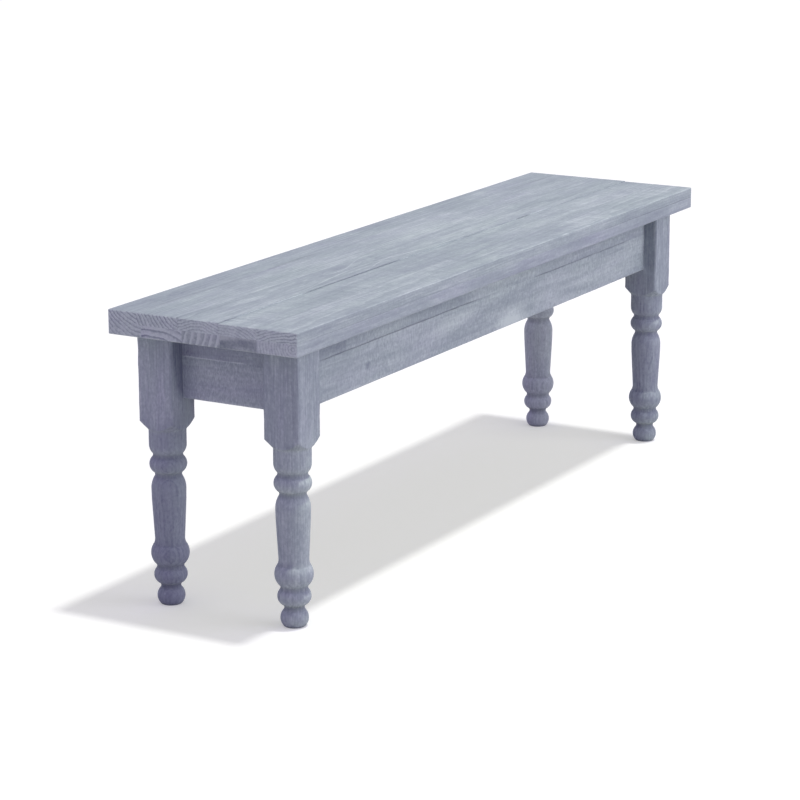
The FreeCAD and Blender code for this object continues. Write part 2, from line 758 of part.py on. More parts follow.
os.makedirs("parts", exist_ok=True)
for thing in pieces:
    thing.Shape.exportStep(f"parts/{thing.Label}.step")
    print(thing.Label, len(thing.Shape.Solids), round(thing.Shape.Volume))
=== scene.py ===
import math
from collections import namedtuple

import bmesh
import bpy
from bpy.props import FloatProperty, FloatVectorProperty, PointerProperty
from mathutils import Matrix, Vector, noise


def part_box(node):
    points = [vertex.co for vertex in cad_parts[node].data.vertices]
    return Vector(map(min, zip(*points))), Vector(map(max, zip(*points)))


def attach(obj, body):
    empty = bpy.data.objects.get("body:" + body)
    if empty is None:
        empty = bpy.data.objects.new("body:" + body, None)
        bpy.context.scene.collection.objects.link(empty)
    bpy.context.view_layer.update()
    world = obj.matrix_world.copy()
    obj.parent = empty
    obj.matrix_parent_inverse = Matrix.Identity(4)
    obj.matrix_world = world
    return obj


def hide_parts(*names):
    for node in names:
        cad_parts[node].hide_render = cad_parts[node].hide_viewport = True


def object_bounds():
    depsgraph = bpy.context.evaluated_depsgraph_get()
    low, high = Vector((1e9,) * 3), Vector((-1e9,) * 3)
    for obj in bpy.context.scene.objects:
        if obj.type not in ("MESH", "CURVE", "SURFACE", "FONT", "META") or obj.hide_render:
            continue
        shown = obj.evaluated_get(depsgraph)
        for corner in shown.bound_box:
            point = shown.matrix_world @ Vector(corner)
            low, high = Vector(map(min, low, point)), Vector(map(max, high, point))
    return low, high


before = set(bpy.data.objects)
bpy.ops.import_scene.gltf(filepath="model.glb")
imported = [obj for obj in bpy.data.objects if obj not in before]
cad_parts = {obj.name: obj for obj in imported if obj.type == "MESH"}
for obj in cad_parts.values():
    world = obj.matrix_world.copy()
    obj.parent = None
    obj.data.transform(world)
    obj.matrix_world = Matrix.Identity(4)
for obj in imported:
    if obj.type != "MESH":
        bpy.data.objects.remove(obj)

bl_info = {
    "name": "Grey-washed dining bench",
    "version": (1, 0, 0),
    "blender": (4, 5, 0),
    "location": "View3D > Sidebar > Dining bench",
    "description": "Dresses a dining bench's frame in rough-sawn, grey-washed pine on turned legs",
    "category": "Add Mesh",
}

CAD_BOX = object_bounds()
MM = 0.001

CORNERS = {"front_left": (-1, -1), "front_right": (1, -1), "back_right": (1, 1), "back_left": (-1, 1)}
SIDES = ("front", "back", "left", "right")
LEVELS = ("upper", "lower")
STRIPS = (1, 2, 3, 4, 5)
BATTENS = ("cross_batten_left", "cross_batten_right")
FASTENERS = (
    "hanger_bolts", "hanger_washers", "hanger_nuts", "corner_block_screws",
    "seat_clips", "seat_clip_screws", "batten_screws",
)


def linear(code):
    """The linear colour of an sRGB hex code."""
    channels = [int(code[place:place + 2], 16) / 255 for place in (1, 3, 5)]
    return tuple(c / 12.92 if c <= 0.04045 else ((c + 0.055) / 1.055) ** 2.4 for c in channels)


# Settings

class BenchWash(bpy.types.PropertyGroup):
    """Colours of the grey wash."""

    even: FloatVectorProperty(
        name="Even wash", description="Where the wash lies evenly",
        subtype="COLOR", default=linear("#A8B2BC"), min=0, max=1,
    )
    pale: FloatVectorProperty(
        name="Dry brush", description="Where the brush dragged pale over fibres and worn edges",
        subtype="COLOR", default=linear("#D6DFE4"), min=0, max=1,
    )
    sunk: FloatVectorProperty(
        name="Sunk wash", description="Where the wash sank into hard rings and pores",
        subtype="COLOR", default=linear("#80869A"), min=0, max=1,
    )
    joint: FloatVectorProperty(
        name="Open joint", description="Dirt and shadow in joints and cracks",
        subtype="COLOR", default=linear("#4E5164"), min=0, max=1,
    )
    lilac: FloatVectorProperty(
        name="Lilac cast", description="What the wash is tinted by where it dried lilac",
        subtype="COLOR", default=linear("#FBF6FF"), min=0, max=1,
    )
    green: FloatVectorProperty(
        name="Green cast", description="What the wash is tinted by where it dried greenish",
        subtype="COLOR", default=linear("#FCFFFB"), min=0, max=1,
    )
    thirsty: FloatVectorProperty(
        name="Thirsty end", description="What the wash is tinted by on end grain that drank it",
        subtype="COLOR", default=linear("#CCCDCE"), min=0, max=1,
    )


class BenchInside(bpy.types.PropertyGroup):
    """Colours of the hidden frame and its fasteners."""

    pine: FloatVectorProperty(
        name="Bare pine", description="Pale early wood of the hidden frame",
        subtype="COLOR", default=linear("#D9BE93"), min=0, max=1,
    )
    pine_ring: FloatVectorProperty(
        name="Pine ring", description="Hard late wood of the hidden frame",
        subtype="COLOR", default=linear("#B98B57"), min=0, max=1,
    )
    zinc: FloatVectorProperty(
        name="Zinc plate", description="Clean plate on screws, bolts and clips",
        subtype="COLOR", default=linear("#C3C8CD"), min=0, max=1,
    )
    zinc_dull: FloatVectorProperty(
        name="Dull plate", description="Plate that has clouded over",
        subtype="COLOR", default=linear("#9DA2A6"), min=0, max=1,
    )


class BenchWood(bpy.types.PropertyGroup):
    """Sizes of the sawn and turned wood."""

    arris: FloatProperty(
        name="Eased arris", description="Width of the easing on outer edges",
        unit="LENGTH", default=1.6 * MM, min=0.2 * MM, max=4 * MM,
    )
    seam: FloatProperty(
        name="Eased seam", description="Width of the easing on edges where two strips meet side by side",
        unit="LENGTH", default=0.2 * MM, min=0.1 * MM, max=2 * MM,
    )
    glue_line: FloatProperty(
        name="Glue line", description="Width of the easing on edges where two layers meet",
        unit="LENGTH", default=0.15 * MM, min=0.05 * MM, max=1 * MM,
    )
    leg_arris: FloatProperty(
        name="Leg arris", description="Rounding of the leg block's corners",
        unit="LENGTH", default=3.5 * MM, min=0.5 * MM, max=6 * MM,
    )
    sway: FloatProperty(
        name="Sway", description="How far a face strays from flat",
        unit="LENGTH", default=0.3 * MM, min=0, max=1 * MM,
    )
    fibre: FloatProperty(
        name="Fibre", description="Width of a visible bundle of fibres",
        unit="LENGTH", default=4 * MM, min=0.5 * MM, max=10 * MM,
    )


class BenchStage(bpy.types.PropertyGroup):
    """Camera and light."""

    lens: FloatProperty(
        name="Lens", description="Focal length on a 36 mm sensor, in millimetres",
        default=128.4, min=20, max=300,
    )
    azimuth: FloatProperty(
        name="Azimuth", description="Where the camera stands, round from the front",
        subtype="ANGLE", default=math.radians(-60.009),
    )
    elevation: FloatProperty(
        name="Elevation", description="How far the camera looks down",
        subtype="ANGLE", default=math.radians(14.28),
    )
    roll: FloatProperty(
        name="Roll", description="Tilt of the picture",
        subtype="ANGLE", default=math.radians(-0.23),
    )
    distance: FloatProperty(
        name="Distance", description="From the camera to the point that it looks at",
        unit="LENGTH", default=4.6635, min=1, max=20,
    )
    aside: FloatProperty(
        name="Aside", description="Steps the camera to its right from the middle of the bench",
        unit="LENGTH", default=-0.0494,
    )
    above: FloatProperty(
        name="Above", description="Lifts the camera from the middle of the bench",
        unit="LENGTH", default=-0.0345,
    )
    key: FloatProperty(
        name="Key light", description="Strength of the steep key light",
        default=1.63, min=0, max=10,
    )
    key_colour: FloatVectorProperty(
        name="Key colour", description="Colour of the steep key light",
        subtype="COLOR", default=(1.0, 1.04, 0.8), min=0, max=2,
    )
    key_angle: FloatProperty(
        name="Key size", description="How wide the key light looks, which softens the shadow",
        subtype="ANGLE", default=math.radians(4),
    )
    fill: FloatProperty(
        name="Front fill", description="Power of the soft light in front, in watts",
        default=53, min=0, max=2000,
    )
    fill_colour: FloatVectorProperty(
        name="Fill colour", description="Colour of the soft light in front",
        subtype="COLOR", default=(1.0, 1.0, 1.0), min=0, max=2,
    )
    room: FloatProperty(
        name="Room light", description="Strength of the light from all round",
        default=0.37, min=0, max=2,
    )
    room_colour: FloatVectorProperty(
        name="Room colour", description="Colour of the light from all round",
        subtype="COLOR", default=(1.0, 0.865, 1.33), min=0, max=2,
    )


# Meshes

CREASE = math.radians(40)


def finished(name, bm):
    """A mesh object of the bench made from a bmesh, riding on the bench's one body."""
    mesh = bpy.data.meshes.new(name)
    bm.to_mesh(mesh)
    bm.free()
    mesh.shade_smooth()
    mesh.set_sharp_from_angle(angle=CREASE)
    piece = bpy.data.objects.new(name, mesh)
    bpy.context.scene.collection.objects.link(piece)
    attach(piece, "root")
    return piece


def stands_for(piece, node, material):
    """Gives a piece its finish and hides the frame's node that it stands for."""
    piece.data.materials.append(material)
    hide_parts(node)


def whole_box(nodes):
    """The box round several nodes."""
    boxes = [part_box(node) for node in nodes]
    low = Vector(min(box[0][axis] for box in boxes) for axis in range(3))
    high = Vector(max(box[1][axis] for box in boxes) for axis in range(3))
    return low, high


def cut_across(bm, axis, places):
    """Cuts every face with planes square to an axis."""
    normal = [0, 0, 0]
    normal[axis] = 1
    for place in places:
        point = [0, 0, 0]
        point[axis] = place
        geom = bm.verts[:] + bm.edges[:] + bm.faces[:]
        bmesh.ops.bisect_plane(bm, geom=geom, dist=1e-7, plane_co=point, plane_no=normal)


TOUCH = 1e-6
STEP_REACH = 1.5 * MM
UP_AXIS = 2


def is_joint(box, group, end, axis):
    """Whether a side of a board lies inside its glued-up group, where it meets the next board."""
    return abs(box[end][axis] - group[end][axis]) > STEP_REACH


def joint_easing(axis):
    """How wide the edges at a joint are eased: layers meet in a finer line than strips side by side."""
    wood = bpy.context.scene.bench_wood
    return wood.glue_line if axis == UP_AXIS else wood.seam


def easing(edge, box, group, length_axis, free_ends):
    """How wide an edge of a board is eased, or 0 where it stays sharp."""
    sides = []
    for axis in range(3):
        for end, corner in enumerate(box):
            if all(abs(vert.co[axis] - corner[axis]) < TOUCH for vert in edge.verts):
                sides.append((end, axis))
    if len(sides) < 2:
        return 0
    joints = [axis for end, axis in sides if is_joint(box, group, end, axis)]
    runs_along = length_axis not in [axis for _, axis in sides]
    if not joints and (runs_along or free_ends):
        return bpy.context.scene.bench_wood.arris
    if len(joints) == 1 and runs_along:
        return joint_easing(joints[0])
    return 0


HOLD = 0.8 * MM
CELL = 9 * MM
LONG_CELL = 7 * MM


def sawn_board(node, group, length_axis, free_ends):
    """A board on its node's box, one of a glued-up group, with eased edges and slightly uneven faces."""
    wood = bpy.context.scene.bench_wood
    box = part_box(node)
    low, high = box
    bm = bmesh.new()
    place = Matrix.Translation((low + high) / 2) @ Matrix.Diagonal((*(high - low), 1))
    bmesh.ops.create_cube(bm, size=1, matrix=place)
    for width in (wood.arris, wood.seam, wood.glue_line):
        edges = [edge for edge in bm.edges if easing(edge, box, group, length_axis, free_ends) == width]
        bmesh.ops.bevel(
            bm, geom=edges, offset=width, offset_type="OFFSET", segments=3, profile=0.5,
            affect="EDGES", material=-1,
        )
    margin = wood.arris + HOLD
    for axis in range(3):
        first, last = low[axis] + margin, high[axis] - margin
        steps = max(1, round((last - first) / CELL)) if axis != length_axis else 1
        cut_across(bm, axis, [first + (last - first) * step / steps for step in range(steps + 1)])
    length = high[length_axis] - low[length_axis]
    long_edges = [
        edge for edge in bm.edges
        if abs(edge.verts[0].co[length_axis] - edge.verts[1].co[length_axis]) > length / 2
    ]
    bmesh.ops.subdivide_edges(bm, edges=long_edges, cuts=round(length / LONG_CELL), use_grid_fill=True)
    wear = bm.verts.layers.float.new("wear")
    for vert in bm.verts:
        vert[wear] = board_wear(vert.co, box, group)
        vert.co += stray(vert.co, wood.sway)
    bmesh.ops.recalc_face_normals(bm, faces=bm.faces)
    return finished(node + "_sawn", bm)


def board_wear(point, box, group):
    """Above 0 on a worn outer arris and 0 elsewhere."""
    depths = []
    for axis in range(3):
        for end, corner in enumerate(box):
            depths.append((abs(point[axis] - corner[axis]), is_joint(box, group, end, axis)))
    (_, jointed), (depth, second_jointed) = sorted(depths)[:2]
    if jointed or second_jointed:
        return 0
    return max(0, 1 - depth / bpy.context.scene.bench_wood.arris)


# Without a seed of its own, the noise of vectors would differ from run to run
SWAY_SEED = 7
WAVE_LENGTH = 160 * MM
CHATTER_LENGTH = 22 * MM
WAVE_SHARE = 0.7
noise.seed_set(SWAY_SEED)


def stray(point, most):
    """How far sawn wood strays from true at a point: long waves and a little chatter."""
    wave = noise.noise_vector(point / WAVE_LENGTH)
    chatter = noise.noise_vector(point / CHATTER_LENGTH)
    return wave * most * WAVE_SHARE + chatter * most * (1 - WAVE_SHARE)


# Where the cove at a neck begins and ends, in mm from the neck as (radius, height)
COVE_FOOT = Vector((1.2, -3.6))
COVE_HEAD = Vector((2.2, 4.4))


def bead(crown, neck):
    """Two corners of a turned profile: up over a bead's crown, then through the cove at the neck above it."""
    middle = Vector(neck)
    return (middle + COVE_FOOT, crown), (middle + COVE_HEAD, neck)


# Turned leg from the floor up: corners of the profile in mm as (radius, height); a corner with a second pair
# is reached by an arc through that pair
TURNING = (
    ((15.5, 0),),
    *bead(crown=(20.9, 13.4), neck=(14.9, 28.2)),
    *bead(crown=(25.0, 46.6), neck=(20.2, 58.7)),
    ((24.0, 93.6), (28.8, 79.5)),
    ((22.4, 102.5), (22.8, 97.4)),
    ((25.6, 163.0),),
    ((25.9, 177.0),),
    *bead(crown=(24.8, 187.5), neck=(19.9, 200.3)),
    *bead(crown=(28.0, 216.8), neck=(22.2, 230.6)),
    ((27.9, 245.5), (26.7, 239.2)),
    ((27.9, 267.7),),
    ((30.5, 272.3), (28.8, 270.5)),
)
COLLAR_TOP = 260 * MM
SHOULDER_TOP = 285.5 * MM
CORNER_CUT = 14 * MM
RING = 2 * MM
FINE_RING = 1 * MM
FEWEST_CHORDS = 4
SPIN_STEPS = 160
ARRIS_RUN = 20 * MM
ARRIS_WANDER = 0.4


def arc_through(start, middle, end, step):
    """Points along the arc from start through middle to end, without the start."""
    a, b, c = Vector(start), Vector(middle), Vector(end)
    turn = 2 * (a.x * (b.y - c.y) + b.x * (c.y - a.y) + c.x * (a.y - b.y))
    aa, bb, cc = a.length_squared, b.length_squared, c.length_squared
    centre = Vector((
        (aa * (b.y - c.y) + bb * (c.y - a.y) + cc * (a.y - b.y)) / turn,
        (aa * (c.x - b.x) + bb * (a.x - c.x) + cc * (b.x - a.x)) / turn,
    ))
    sweep = (b - centre).angle_signed(a - centre) + (c - centre).angle_signed(b - centre)
    count = max(FEWEST_CHORDS, math.ceil(abs(sweep) * (a - centre).length / step))
    return [centre + Matrix.Rotation(sweep * part / count, 2) @ (a - centre) for part in range(1, count + 1)]


def straight(start, end, step):
    """Points along a straight run, without the start."""
    count = max(1, round((end - start).length / step))
    return [start.lerp(end, part / count) for part in range(1, count + 1)]


def leg_profile(top, half_diagonal):
    """The turned profile as (radius, height) points in metres, from the foot's middle to the block's top."""
    points = [Vector(TURNING[0][0]) * MM]
    for corner, *through in TURNING[1:]:
        end = Vector(corner) * MM
        if through:
            points += arc_through(points[-1], Vector(through[0]) * MM, end, RING)
        else:
            points += straight(points[-1], end, RING)
    points += straight(points[-1], Vector((half_diagonal, SHOULDER_TOP)), FINE_RING)
    points += straight(points[-1], Vector((half_diagonal, top)), RING)
    return [Vector((0, 0)), *points, Vector((0, top))]


def block_radius(angle, half_side, rounding):
    """The radius of a square with rounded corners, at an angle from the middle of a side."""
    off_middle = abs((angle + math.pi / 4) % (math.pi / 2) - math.pi / 4)
    inner = half_side - rounding
    if half_side * math.tan(off_middle) <= inner:
        return half_side / math.cos(off_middle)
    reach = inner * (math.cos(off_middle) + math.sin(off_middle))
    return reach + math.sqrt(reach * reach - 2 * inner * inner + rounding * rounding)


WEAR_REACH = 7 * MM
WEAR_DEPTH = 2.5 * MM


def turning_wear(profile, radius, height):
    """Above 0 on the crown of a bead, where the wash rubs off, and below 0 in a neck, where it gathers."""
    if height > COLLAR_TOP:
        return 0
    nearby = [other.x for other in profile if abs(other.y - height) < WEAR_REACH and other.x > 0]
    rise = (radius - sum(nearby) / len(nearby)) / WEAR_DEPTH
    return max(-1, min(1, rise))


def turned_leg(corner):
    """A leg: the profile spun to the block's half diagonal, then planed back to the square block."""
    wood = bpy.context.scene.bench_wood
    node = "leg_" + corner
    side_x, side_y = CORNERS[corner]
    low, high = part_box(node)
    half_side = (high.x - low.x) / 2
    half_diagonal = half_side * math.sqrt(2)
    flat_reach = half_diagonal - CORNER_CUT / math.sqrt(2)
    axis = Vector(((low.x + high.x) / 2, (low.y + high.y) / 2, 0))
    apron_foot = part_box("apron_front_lower")[0].z
    inward = math.atan2(-side_y, -side_x)

    bm = bmesh.new()
    last = None
    wear = bm.verts.layers.float.new("wear")
    profile = leg_profile(high.z, half_diagonal)
    for radius, height in profile:
        vert = bm.verts.new((radius, 0, height))
        vert[wear] = turning_wear(profile, radius, height)
        if last:
            bm.edges.new((last, vert))
        last = vert
    bmesh.ops.spin(
        bm, geom=bm.verts[:] + bm.edges[:], cent=(0, 0, 0), axis=(0, 0, 1), angle=2 * math.pi,
        steps=SPIN_STEPS, use_merge=True,
    )
    bmesh.ops.remove_doubles(bm, verts=bm.verts, dist=TOUCH)
    bmesh.ops.recalc_face_normals(bm, faces=bm.faces)
    for vert in bm.verts:
        radius = math.hypot(vert.co.x, vert.co.y)
        if radius < TOUCH:
            continue
        angle = math.atan2(vert.co.y, vert.co.x)
        along_arris = Vector((side_x, side_y, vert.co.z / ARRIS_RUN))
        worn = wood.leg_arris * (1 + ARRIS_WANDER * noise.noise(along_arris))
        planed = min(radius, block_radius(angle, half_side, worn))
        if vert.co.z > apron_foot and math.cos(angle - inward) > 0:
            planed = min(planed, flat_reach / math.cos(angle - inward))
        vert.co.x *= planed / radius
        vert.co.y *= planed / radius
    bmesh.ops.translate(bm, verts=bm.verts, vec=axis)
    for vert in bm.verts:
        vert.co += stray(vert.co, wood.sway)
    return finished(node + "_turned", bm)


# Materials

def add(tree, kind, inputs=None, stops=(), **settings):
    """Adds a node with its settings, inputs and ramp stops.

    An input is a plain value, a socket or a node, whose first output counts. A stop is a place and a colour.
    """
    node = tree.nodes.new(kind)
    for name, value in settings.items():
        setattr(node, name, value)
    for place, value in (inputs or {}).items():
        if isinstance(value, bpy.types.Node):
            value = value.outputs[0]
        if isinstance(value, bpy.types.NodeSocket):
            tree.links.new(value, node.inputs[place])
        else:
            node.inputs[place].default_value = value
    for count, (place, colour) in enumerate(stops):
        elements = node.color_ramp.elements
        if count == 0:
            elements.remove(elements[1])
            elements[0].position = place
        stop = elements.new(place) if count else elements[0]
        stop.color = (*colour, 1)
    return node


def combined(tree, operation, first, second):
    """Two values multiplied or divided, or the larger of the two."""
    return add(tree, "ShaderNodeMath", {0: first, 1: second}, operation=operation)


def greys(*stops):
    """Ramp stops of plain strengths."""
    return [(place, (strength, strength, strength)) for place, strength in stops]


def weighted(tree, start, terms):
    """A start value plus each pattern's distance from its usual value times its weight."""
    total = start - sum(weight * usual for _, weight, usual in terms)
    for pattern, weight, _ in terms:
        total = add(tree, "ShaderNodeMath", {0: pattern, 1: weight, 2: total}, operation="MULTIPLY_ADD")
    return total


def new_material(name):
    """An empty material."""
    material = bpy.data.materials.new(name)
    material.use_nodes = True
    material.node_tree.nodes.clear()
    return material


# How a stick was cut from its log: the pith's place across and through the bench, and how far it drifts
# over each metre, all in mm; the growth rings' width in mm; how strongly they show, below 0 for pale rings;
# a seed of its own. Then how it took the wash: its shift of tone, its cast from lilac to green, and how
# thirsty its end was
Stick = namedtuple("Stick", "pith drift ring show seed shade cast thirst", defaults=(0, 0, 0))

# How strongly each pattern shows on a surface, and its saw marks: the axis that the sawn faces look along,
# the marks' width in mm, how many times longer they are, and how far they turn from square to the grain
Surface = namedtuple("Surface", "rings fibre brush drag blotch saw speck face mark stretch turn")
PLANED = Surface(0.28, 0.14, 0.16, 0.22, 0.24, 0.12, 0.16, "Z", 6, 8, math.radians(5))
SAW_MARKED = PLANED._replace(saw=0.26)
SAWN_LONG = Surface(0.1, 0.06, 0.1, 0.24, 0.18, 0.42, 0.18, "Y", 3, 2.5, 0)
SAWN_SHORT = Surface(0.1, 0.06, 0.06, 0.2, 0.16, 0.62, 0.12, "X", 1.7, 3, 0)
TURNED = Surface(0.22, 0.26, 0.06, 0.1, 0.18, 0, 0.25, "Z", 5, 1, 0)
TURNED_STREAKED = TURNED._replace(fibre=0.42)

# A line along a joint or a fibre: the axis it is measured on (1 across, 2 through), its place and half width
# in mm, whether it is pale, how strong it is at shares of the length, how far it strays to the sides in mm,
# and a patch whose shift bends it aside by that many mm
Line = namedtuple("Line", "axis place half_width pale strengths waver bend", defaults=(0, None))

# A patch in the wash, a patch of painted light or shade, or a knot: its middle and reach along, across and
# through the grain in mm, its shift of tone, or for a knot how far it pushes the rings aside in mm, and the
# share of its reach over which it fades
Patch = namedtuple("Patch", "middle reach shift fade", defaults=(1,))

COLOUR_A, COLOUR_B, COLOUR_OUT = 6, 7, 2
WAVER = 3.5 * MM
FACING_FROM, FACING_FULL = 0.6, 0.9


class Grain:
    """Patterns that follow the grain of one stick, on axes along, across and through the grain."""

    def __init__(self, tree, axes, seed, turn=0):
        self.tree = tree
        self.seed = seed
        coordinates = add(tree, "ShaderNodeTexCoord")
        turned = add(
            tree, "ShaderNodeMapping", {"Vector": coordinates.outputs["Object"], "Rotation": (0, 0, turn)},
            vector_type="TEXTURE",
        )
        split = add(tree, "ShaderNodeSeparateXYZ", {0: turned})
        self.axes = [split.outputs[letter] for letter in axes]
        self.place = add(tree, "ShaderNodeCombineXYZ", dict(enumerate(self.axes)))
        self.normal = add(tree, "ShaderNodeSeparateXYZ", {0: coordinates.outputs["Normal"]})
        self.end = self.looks_along(axes[0])

    def looks_along(self, axis):
        """1 on faces that look along an axis, either way, and 0 on other faces."""
        facing = add(self.tree, "ShaderNodeMath", {0: self.normal.outputs[axis]}, operation="ABSOLUTE")
        span = {"Value": facing, 1: FACING_FROM, 2: FACING_FULL}
        return add(self.tree, "ShaderNodeMapRange", span, clamp=True)

    def cloud(self, stretch, size, detail, low=0.3, high=0.7, turn=0):
        """Noise with features of a size, stretched on the grain's axes, from 0 at low to 1 at high."""
        drawn = add(
            self.tree, "ShaderNodeMapping",
            {"Vector": self.place, "Rotation": (0, 0, turn), "Scale": stretch}, vector_type="TEXTURE",
        )
        cloud = add(
            self.tree, "ShaderNodeTexNoise",
            {"Vector": drawn, "W": self.seed, "Scale": 1 / size, "Detail": detail, "Roughness": 0.6},
            noise_dimensions="4D",
        )
        return add(self.tree, "ShaderNodeMapRange", {"Value": cloud, 1: low, 2: high}, clamp=True)

    def inside(self, patch):
        """The patch's shift in its middle, fading to 0 at its reach."""
        reach = Vector(patch.reach) * MM
        spread = add(
            self.tree, "ShaderNodeMapping",
            {"Vector": self.place, "Location": Vector(patch.middle) * MM, "Scale": reach},
            vector_type="TEXTURE",
        )
        away = add(self.tree, "ShaderNodeVectorMath", {0: spread}, operation="LENGTH").outputs["Value"]
        return add(
            self.tree, "ShaderNodeMapRange",
            {"Value": away, 1: 1 - patch.fade, 2: 1.0, 3: patch.shift, 4: 0.0},
            interpolation_type="SMOOTHSTEP", clamp=True,
        )

    def ring_phase(self, stick, knots=()):
        """Where a point lies in its growth ring, from 0 to 1: shells round the pith, pushed about."""
        tree = self.tree
        pith = Vector((0, *stick.pith)) * MM
        centred = add(tree, "ShaderNodeVectorMath", {0: self.place, 1: pith}, operation="SUBTRACT")
        slopes = (-1, *(-drift * MM for drift in stick.drift))
        squared = add(
            tree, "ShaderNodeVectorMath", {0: self.axes[0], 1: slopes, 2: centred},
            operation="MULTIPLY_ADD",
        )
        radius = add(tree, "ShaderNodeVectorMath", {0: squared}, operation="LENGTH").outputs["Value"]
        waver = self.cloud((7, 1, 1), 20 * MM, 3)
        pushes = [(self.inside(knot), MM, 0) for knot in knots]
        pushed = weighted(tree, 0, [(radius, 1, 0), (waver, WAVER, 0), *pushes])
        turns = combined(tree, "DIVIDE", pushed, stick.ring * MM)
        return add(tree, "ShaderNodeMath", {0: turns}, operation="FRACT")

    def along(self, line, box):
        """How strongly a line shows, from 0 to 1."""
        tree = self.tree
        drift = [(self.cloud((9, 1, 1), 30 * MM, 2), line.waver * MM, 0.5)] if line.waver else []
        bend = [(self.inside(line.bend), -MM, 0)] if line.bend else []
        off = weighted(tree, -line.place * MM, [(self.axes[line.axis], 1, 0), *drift, *bend])
        gap = add(tree, "ShaderNodeMath", {0: off}, operation="ABSOLUTE")
        near = add(
            tree, "ShaderNodeMapRange", {"Value": gap, 1: 0.0, 2: line.half_width * MM, 3: 1.0, 4: 0.0},
            interpolation_type="SMOOTHSTEP", clamp=True,
        )
        share = add(tree, "ShaderNodeMapRange", {"Value": self.axes[0], 1: box[0], 2: box[1]})
        strength = add(tree, "ShaderNodeValToRGB", {0: share}, greys(*line.strengths))
        return combined(tree, "MULTIPLY", near, strength)


SIDE_RINGS = greys((0, 0.85), (0.15, 0.55), (0.55, 0.5), (0.84, 0.05), (0.92, 0.2), (0.97, 0.8), (1, 0.85))
END_RINGS = greys((0, 0.9), (0.3, 0.8), (0.6, 0.55), (0.76, 0.0), (0.9, 0.05), (1, 0.9))

# On end grain: the usual tone, the rings' middle value and their contrast
END_TONE = 0.82
END_MIDDLE = 0.6
END_CONTRAST = 0.9

# How far grooves darken, crowns rub pale, filled joints show, and lines run on over end grain
GROOVE = 0.45
RUBBED = 0.3
FILLED = 0.8
PAST_END = 0.15

# Sizes of the patterns in the wash, and the share of the saw marks that shows outside the sawn zones too
BLOTCH_SIZE = 80 * MM
TINT_SIZE = 40 * MM
SAWN_ZONE_SIZE = 110 * MM
SPECK_SIZE = 3.5 * MM
BREAK_SIZE = 6 * MM
CLEAR_SIZE = 25 * MM
SAW_ALL_OVER = 0.4


